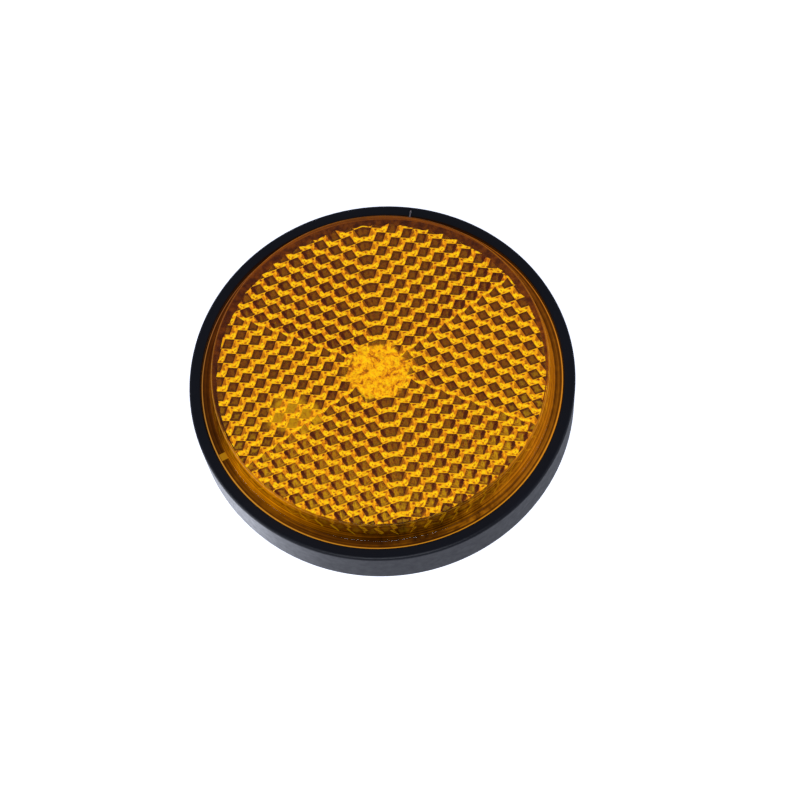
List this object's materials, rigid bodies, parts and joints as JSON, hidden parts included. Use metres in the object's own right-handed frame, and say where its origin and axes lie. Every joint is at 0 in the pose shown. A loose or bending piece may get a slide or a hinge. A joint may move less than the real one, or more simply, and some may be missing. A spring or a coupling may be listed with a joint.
{
  "type": "round reflex reflector",
  "caption": "Round amber reflex reflector: prismatic lens proud of a black plastic housing, bolted through one hole by a captive central stud with washers and nut.",
  "frame": {"origin": "centre of the housing's flat back rim, the face that seats on the panel", "axes": "+Z along the optical axis, out through the lens; the stud points along -Z; the prism sectors' seams lie at 30, 90 and 150 degrees from +X"},
  "size_m": [0.0604, 0.0604, 0.0291],
  "materials": {
    "amber_lens": "clear amber acrylic, polished front",
    "black_housing": "black ABS, satin",
    "zinc_steel": "bright zinc plate",
    "seal_rubber": "matt",
    "foam": "closed-cell foam",
    "spring_steel": "blued spring steel"
  },
  "bodies": {
    "reflector": {"lens": "amber_lens", "housing": "black_housing", "stud_bolt": "zinc_steel", "stud_seal": "seal_rubber", "stud_retainer": "spring_steel", "back_gasket": "foam"},
    "washers": {"flat_washer": "zinc_steel", "spring_washer": "spring_steel"},
    "nut": {"hex_nut": "zinc_steel"}
  },
  "joints": [
    {"name": "washer_slide", "type": "slide", "parent": "reflector", "child": "washers", "axis": [0, 0, -1], "range_m": [-0.0018, 0.005]},
    {"name": "nut_spin", "type": "hinge", "parent": "washers", "child": "nut", "pos_m": [0, 0, -0.0097], "axis": [0, 0, -1], "range_deg": [-648, 1800]}
  ],
  "couplings": [
    {"joint": "nut_spin", "follows": "washer_slide", "rad_per_m": 6283.2}
  ]
}
